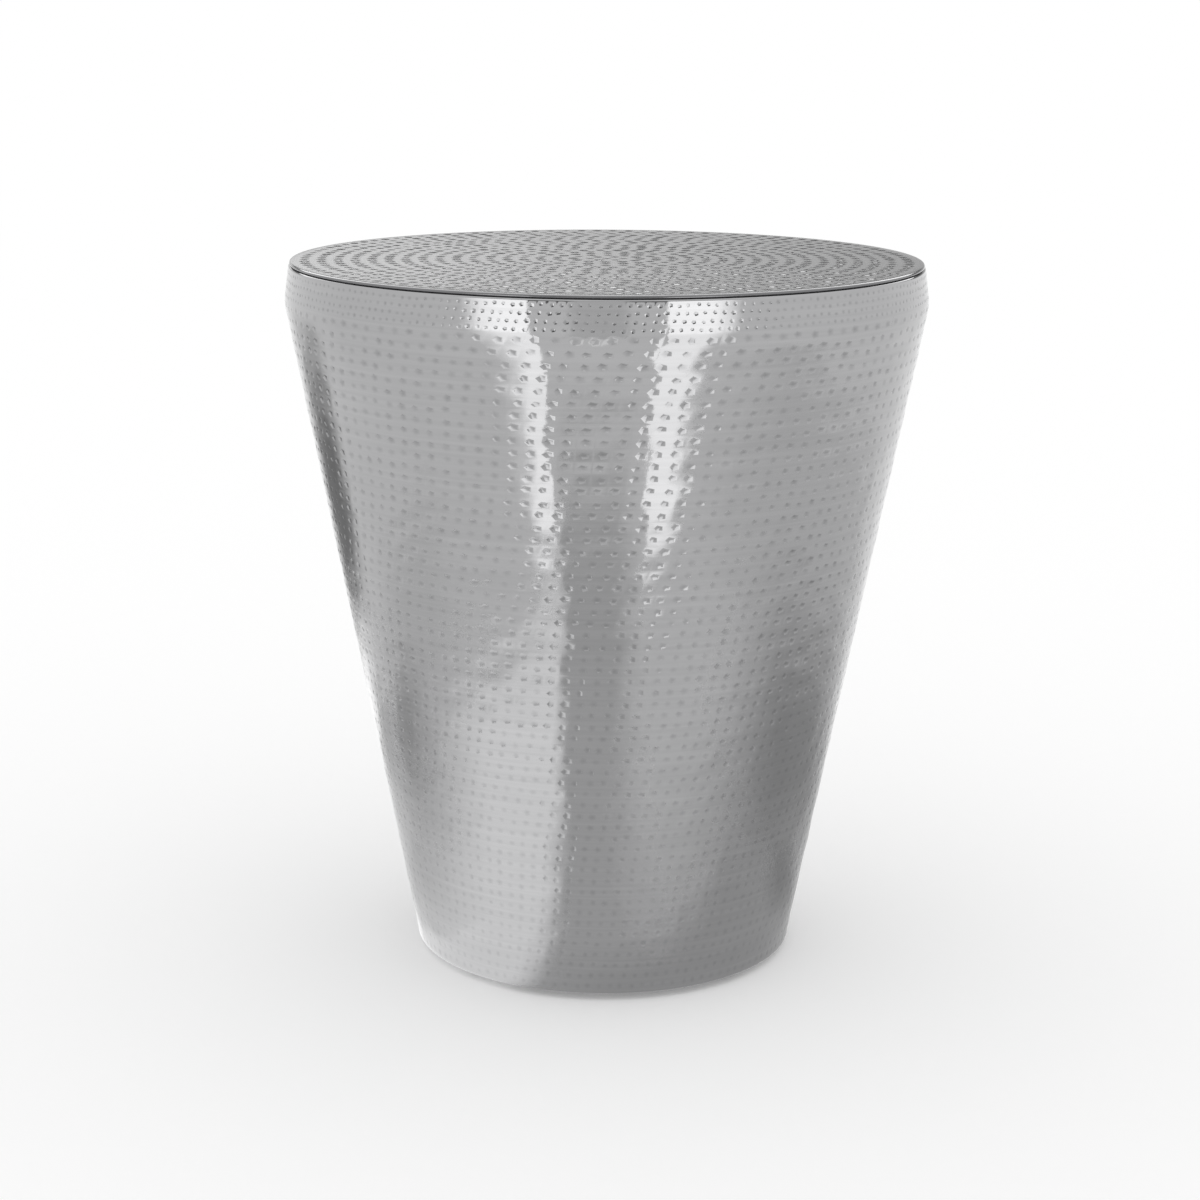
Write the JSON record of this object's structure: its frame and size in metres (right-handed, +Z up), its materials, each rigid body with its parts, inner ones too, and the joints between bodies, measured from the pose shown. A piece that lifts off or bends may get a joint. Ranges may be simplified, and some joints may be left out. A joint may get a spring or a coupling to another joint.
{
  "type": "drum side table",
  "caption": "Tapered drum side table in hammered silver sheet metal: a round flat top on a drum that narrows to the floor, for use beside a seat.",
  "frame": {"origin": "on the floor at the centre of the drum, level with the undersides of the glides", "axes": "+Z up along the drum's axis; the picture looks along +Y, so -Y is the side it shows and +X is to its right"},
  "size_m": [0.4572, 0.4572, 0.508],
  "materials": {
    "hammered_aluminium": "hammered, satin polish",
    "felt": "pressed felt",
    "plywood": "bare birch plywood",
    "zinc_steel": "bright zinc plate",
    "nylon": "moulded nylon"
  },
  "bodies": {
    "root": {"drum_shell": "hammered_aluminium", "top_skin": "hammered_aluminium", "rim_gasket": "felt", "top_core": "plywood", "top_clip_1": "zinc_steel", "top_clip_2": "zinc_steel", "top_clip_3": "zinc_steel", "top_clip_4": "zinc_steel", "clip_screws": "zinc_steel", "base_board": "plywood", "base_screws": "zinc_steel", "glide_1": "nylon", "glide_2": "nylon", "glide_3": "nylon", "glide_4": "nylon", "glide_screws": "zinc_steel"}
  },
  "joints": []
}
